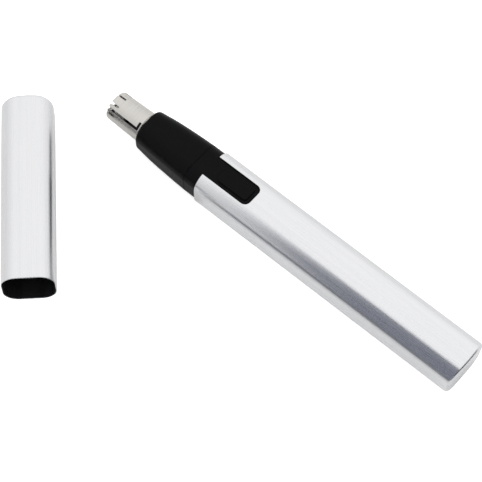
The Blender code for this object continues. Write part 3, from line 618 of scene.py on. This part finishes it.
def rounded_outline(width, rear, front, radii, inset=0.0, steps=8):
    """(side, along) rectangle with a front and a rear corner radius, drawn in by the inset."""
    half = width / 2 - inset
    low, high = rear + inset, front - inset
    points = []
    for side, along, radius, first in (
        (half, high, radii[1], 0.0), (-half, high, radii[1], 90.0),
        (-half, low, radii[0], 180.0), (half, low, radii[0], 270.0),
    ):
        radius = max(radius - inset, 0.02)
        inwards = math.copysign(radius, along - (low + high) / 2)
        centre = (side - math.copysign(radius, side), along - inwards)
        points += arc(centre, radius, first, first + 90.0, steps)
    return points


# ---------------------------------------------------------------- housing

END_FACE_RINGS = (0.15, 0.35, 0.55, 0.75, 0.9)


def cup(name, size, length, mouth, fillet, wall, end, outward, lathe, rows=16):
    """Cup with its mouth at one end and a closed end at the length, wall and all.

    size is (width, thickness), and end says how the closed end stands out. outward is 1 when
    the closed end is ahead of the mouth and -1 when it is behind it.
    """
    rings = []
    face = [(up, side) for up, side, _ in inset_ring(size, fillet, 0.0)]
    for share in END_FACE_RINGS:
        shrunk = [(up * share, side * share) for up, side in face]
        rings.append([(up, side, length + stand_out(up, side, end)) for up, side in shrunk])
    for depth, inset in rounded_edge(fillet, 8):
        ring = inset_ring(size, inset, length - depth)
        rings.append([(up, side, along + stand_out(up, side, end)) for up, side, along in ring])
    # rows of quads along the side, which turn the raked end into straight ovals
    start = length - fillet
    for row in range(1, rows):
        share = row / rows
        ring = inset_ring(size, 0.0, start + (mouth + LIP - start) * share)
        rings.append([
            (up, side, along + stand_out(up, side, end) * (1.0 - share)) for up, side, along in ring
        ])
    for depth, inset in reversed(rounded_edge(LIP, 3)):
        rings.append(inset_ring(size, inset, mouth + depth))
    rings.append(inset_ring(size, wall, mouth))
    for depth, inset in reversed(rounded_edge(max(fillet - wall, 0.2), 5)):
        rings.append(inset_ring(size, wall + inset, length - wall - depth))
    rings = [[(up, side, outward * along) for up, side, along in ring] for ring in rings]
    return loft(name, rings, lathe)


def make_body_tube(materials):
    """Tube with a chamfered notch for the tongue, cut in from past the rim."""
    size = (TUBE_WIDTH, TUBE_THICKNESS)
    tube = cup("tube_body", size, TUBE_LENGTH, 0.0, TAIL_FILLET, WALL, TAIL_END, -1, LATHE)
    width = TONGUE_WIDTH + 2 * NOTCH_GAP
    rear, past_rim = -TONGUE_LENGTH - NOTCH_GAP, 4.0
    radii = (TONGUE_CORNER + NOTCH_GAP, 0.1)
    floor, face, chamfer = 4.0, TUBE_THICKNESS / 2, 0.1
    notch = rounded_outline(width, rear, past_rim, radii)
    wider = rounded_outline(width, rear, past_rim, radii, -2 * chamfer)
    layers = [(floor, notch), (face - chamfer, notch), (face + chamfer, wider)]
    combine(tube, plate("notch", layers, LATHE))
    finish_piece(tube, materials["aluminium"], "housing", ["body_tube"])


# ---------------------------------------------------------------- collar, cone and ring

def make_collar(materials):
    """Collar with its spigot inside the tube, the boss the cone sits on, and the tongue."""
    edge = 0.12
    spigot_inset = 0.7
    spigot = (TUBE_WIDTH - 2 * spigot_inset, TUBE_THICKNESS - 2 * spigot_inset)
    shape = (FLAT - 0.2, SIDE_CUT)
    boss = (13.4, 10.6, BOSS_FLAT, POCKET_CUT)
    boss_length = 2.4
    stations = [(-SPIGOT_LENGTH, *spigot, *shape), (COLLAR_REAR, *spigot, *shape)]
    for depth, inset in rounded_edge(edge, 3):
        drawn_in = (COLLAR_WIDTH - 2 * inset, COLLAR_THICKNESS - 2 * inset)
        stations.append((COLLAR_REAR + depth, *drawn_in, *shape))
    for depth, inset in reversed(rounded_edge(edge, 3)):
        drawn_in = (COLLAR_WIDTH - 2 * inset, COLLAR_THICKNESS - 2 * inset)
        stations.append((COLLAR_LENGTH - depth, *drawn_in, *shape))
    stations += [(COLLAR_LENGTH, *boss), (COLLAR_LENGTH + boss_length, *boss)]
    collar = oval_loft("collar", stations, LATHE)

    tongue = (TONGUE_WIDTH, -TONGUE_LENGTH, COLLAR_LENGTH / 2)
    tongue_sheet, tongue_edge, proud = 0.92, 0.2, 0.02
    top = COLLAR_THICKNESS / 2 + proud
    radii = (TONGUE_CORNER, 0.1)
    layers = [(top - tongue_sheet, rounded_outline(*tongue, radii))]
    for depth, inset in reversed(rounded_edge(tongue_edge, 4)):
        layers.append((top - depth, rounded_outline(*tongue, radii, inset)))
    combine(collar, plate("tongue", layers, LATHE), "UNION")

    # pocket for the tray, bore for the motor's shaft, and the slot the thumb slide's stem runs in
    pocket = (14.2, 12.2, BOSS_FLAT, POCKET_CUT)
    pocket_stations = [(-SPIGOT_LENGTH - 1.0, *pocket), (2.0, *pocket)]
    combine(collar, oval_loft("pocket", pocket_stations, LATHE))
    bore = 3.4
    combine(collar, turned("bore", [(0.0, 12.0), (bore, 12.0), (bore, 0.0), (0.0, 0.0)], LATHE, 48))
    combine(collar, block("stem_slot", (4.0, TUBE_THICKNESS), (-1.5, 1.5), (-12.6, -6.2), LATHE))
    finish_piece(collar, materials["black_plastic"], "chassis", ["switch_collar"])


def make_cone(materials):
    """Tapering cone with a rounded nose, hollow inside and bored for the bayonet ring."""
    rear, front = reach("nose_cone")
    width, thickness = girth("nose_cone")
    nose_round = 1.1
    shape = [
        (0.0, width, thickness, BOSS_FLAT, SIDE_CUT),
        (5.25, width - 0.45, thickness, 7.0, SIDE_CUT),
        (10.25, width - 0.95, thickness - 0.05, 6.4, 0.5),
        (15.25, width - 1.55, thickness - 0.25, 5.4, 0.4),
        (front - nose_round - rear, width - 2.5, thickness - 0.7, 4.0, 0.2),
    ]
    edge = 0.1
    stations = []
    for depth, inset in rounded_edge(edge, 3):
        rim = (width - 2 * inset, thickness - 2 * inset, BOSS_FLAT, SIDE_CUT)
        stations.append((rear + depth, *rim))
    stations += smooth_stations([(rear + along, *section) for along, *section in shape], 5)[1:]

    start, *last_section = stations[-1]
    nose = (12.2, 12.4, 2.0, 0.1)
    nose_steps = 8
    for step in range(1, nose_steps + 1):
        angle = math.pi / 2 * step / nose_steps
        share = 1.0 - math.cos(angle)
        section = [low + (high - low) * share for low, high in zip(last_section, nose)]
        stations.append((start + nose_round * math.sin(angle), *section))
    cone = oval_loft("cone", stations, LATHE)

    boss = (13.8, 11.0, BOSS_FLAT, POCKET_CUT)
    front_room = (11.0, 10.4, 4.0, POCKET_CUT)
    hollow = [(rear - 1.15, *boss), (12.0, *boss), (front - 2.6, *front_room)]
    combine(cone, oval_loft("hollow", hollow, LATHE))
    bore = 4.0
    combine(cone, turned("bore", [(0.0, 30.0), (bore, 30.0), (bore, 20.0), (0.0, 20.0)], LATHE, 48))
    finish_piece(cone, materials["black_plastic"], "chassis", ["nose_cone"])


def smooth_stations(stations, samples):
    """Catmull-Rom stations through a short given list."""
    points = [Vector(station) for station in stations]
    points = [points[0] * 2 - points[1]] + points + [points[-1] * 2 - points[-2]]
    result = []
    for before, start, end, after in zip(points, points[1:], points[2:], points[3:]):
        for step in range(samples):
            t = step / samples
            slope_in = (end - before) / 2
            slope_out = (after - start) / 2
            cubic = (2 * start - 2 * end + slope_in + slope_out) * t ** 3
            square = (3 * end - 3 * start - 2 * slope_in - slope_out) * t ** 2
            result.append(tuple(cubic + square + slope_in * t + start))
    result.append(tuple(points[-2]))
    return result


def make_button(materials):
    """Thumb pad on the tongue, with its stem and the skirt under the tongue."""
    rear, front = -16.2, -4.6
    width, low, top = 5.4, 7.07, TUBE_THICKNESS / 2
    corner, edge = 0.9, 0.22
    radii = (corner, corner)
    layers = [(low, rounded_outline(width, rear, front, radii))]
    for depth, inset in reversed(rounded_edge(edge, 5)):
        layers.append((top - depth, rounded_outline(width, rear, front, radii, inset)))
    button = plate("button", layers, LATHE)
    combine(button, block("stem", (5.6, 7.2), (-1.3, 1.3), (-12.4, -9.0), LATHE), "UNION")
    combine(button, block("skirt", (5.35, 5.85), (-3.4, 3.4), (-30.2, -1.6), LATHE), "UNION")
    finish_piece(button, materials["black_plastic"], "switch", ["switch_button"])


def make_ring(materials):
    """Turned bayonet ring, with the pin that stands in the guard's slot."""
    spigot, flange, press, bore = 4.65, 5.6, 3.9, 3.2
    rear, front = reach("bayonet_ring")
    back = reach("nose_cone")[1] + 0.1
    edge = 0.12
    profile = [
        (bore, front), (spigot - edge, front), (spigot, front - edge), (spigot, SEAT),
        (flange - edge, SEAT), (flange, SEAT - edge), (flange, back + edge),
        (flange - edge, back), (press, back), (press, rear), (bore, rear),
    ]
    ring = turned("bayonet", profile, LATHE)

    pin_angle, pin_along = math.radians(-26.0), 27.95 * MM
    pin_radius, pin_root, pin_top, pin_edge = 0.33, 3.9, 5.15, 0.08
    pin_profile = [
        (0.0, pin_top), (pin_radius - pin_edge, pin_top), (pin_radius, pin_top - pin_edge),
        (pin_radius, pin_root), (0.0, pin_root),
    ]
    turn = Matrix.Rotation(pin_angle, 4, "Z") @ Matrix.Translation((0, 0, pin_along))
    pin_lathe = LATHE @ turn @ Matrix.Rotation(math.pi / 2, 4, "Y")
    combine(ring, turned("pin", pin_profile, pin_lathe, 24), "UNION")
    finish_piece(ring, materials["ring_steel_painted_shade"], "chassis", ["bayonet_ring"])


# ---------------------------------------------------------------- guard

def slot_outline(width, low, high, steps=16):
    """(side, along) outline with a round rear end, open past the tip."""
    half = width / 2
    return [(half, high), (-half, high)] + arc((0.0, low + half), half, 180.0, 360.0, steps)


def make_guard(materials):
    """Turned sleeve with nine short slots round its tip and an L-shaped bayonet slot."""
    base, tip = reach("guard_sleeve")
    tip_radius, base_radius, wall, lip, chamfer = 5.0, 5.3, 0.45, 0.35, 0.08
    front_wall = 0.5
    inner = tip_radius - wall
    profile = [(0.0, tip)]
    profile += [(tip_radius - inset, tip - depth) for depth, inset in rounded_edge(lip, 6)]
    profile += [
        (base_radius, base + chamfer), (base_radius - chamfer, base), (base_radius - wall, base),
        (inner, tip - front_wall - 0.4), (inner - 0.4, tip - front_wall), (0.0, tip - front_wall),
    ]
    guard = turned("guard", profile, LATHE, 128)

    outside, past_tip = 7.0, 2.0
    slots, first_slot, slot_width, slot_length, slot_floor = 9, 15.0, 0.7, 3.4, 1.9
    outline = slot_outline(slot_width, tip - slot_length, tip + past_tip)
    for index in range(slots):
        turn = Matrix.Rotation(math.radians(first_slot + 360.0 / slots * index), 4, "Z")
        combine(guard, plate("slot", [(slot_floor, outline), (outside, outline)], LATHE @ turn))

    inlet, leg_end, inlet_width = -47.0, -20.0, 0.95
    leg_low, leg_height, leg_floor = 27.5, 0.9, 3.6
    outline = slot_outline(inlet_width, leg_low, tip + past_tip)
    turn = Matrix.Rotation(math.radians(inlet), 4, "Z")
    combine(guard, plate("inlet", [(leg_floor, outline), (outside, outline)], LATHE @ turn))
    sector = arc((0.0, 0.0), outside, inlet, leg_end, 12)
    sector += arc((0.0, 0.0), leg_floor, leg_end, inlet, 12)
    leg_ends = (leg_low, leg_low + leg_height)
    rings = [[(up, side, along) for up, side in sector] for along in leg_ends]
    combine(guard, loft("leg", rings, LATHE))
    finish_piece(guard, materials["steel"], "guard", ["guard_sleeve"])


# ---------------------------------------------------------------- cap

def make_cap(materials):
    """Thin shell with a lining that starts a little inside its mouth."""
    wall, gap, liner_wall, setback = 0.25, 0.03, 0.2, 0.25
    outside = (CAP_WIDTH, CAP_THICKNESS)
    shell = cup("cap", outside, CAP_LENGTH, 0.0, CAP_FILLET, wall, CAP_CLOSED_END, 1, CAP_LATHE)
    finish_piece(shell, materials["aluminium"], "cap", ["cap_shell"])

    clear = wall + gap
    inside = (CAP_WIDTH - 2 * clear, CAP_THICKNESS - 2 * clear)
    liner = cup(
        "lining", inside, CAP_LENGTH - clear, setback, CAP_FILLET - clear, liner_wall,
        LEVEL_END, 1, CAP_LATHE,
    )
    finish_piece(liner, materials["liner"], "cap", ["cap_liner"])


# ---------------------------------------------------------------- pieces that keep their CAD shape

# material: the nodes that get it
KEPT = {
    "inner_black": ["chassis_tray"],
    "turned_steel": ["motor_shaft", "cutter_spindle", "cutter_spring", "battery_spring"],
    # the cutter blade's steel carries painted shade
    "cutter_steel_painted_shade": ["cutter_blade"],
    "zinc": [
        "chassis_screw_near", "chassis_screw_far", "motor_can", "motor_armature",
        "positive_contact", "negative_contact", "return_strip",
    ],
    "brass": ["motor_bush", "spindle_bush"],
    "copper": [
        "switch_wiper", "switch_contact_motor", "switch_contact_return",
        "motor_terminal_far", "motor_terminal_near", "motor_commutator",
    ],
    "ferrite": ["motor_magnet_far", "motor_magnet_near"],
    "white": ["motor_end_cap", "drive_coupling", "cutter_hub"],
    "sleeve": ["battery_cell"],
    "red": ["lead_red"],
    "black_wire": ["lead_black"],
}


def dress_kept_nodes(materials):
    """Give the nodes that keep their CAD shape their materials."""
    for material, names in KEPT.items():
        for name in names:
            mesh = NODES[name].data
            mesh.materials.clear()
            mesh.materials.append(materials[material])


make_camera()
make_world()
make_stage()
MATERIALS = make_materials()
make_body_tube(MATERIALS)
make_collar(MATERIALS)
make_cone(MATERIALS)
make_button(MATERIALS)
make_ring(MATERIALS)
make_guard(MATERIALS)
make_cap(MATERIALS)
dress_kept_nodes(MATERIALS)
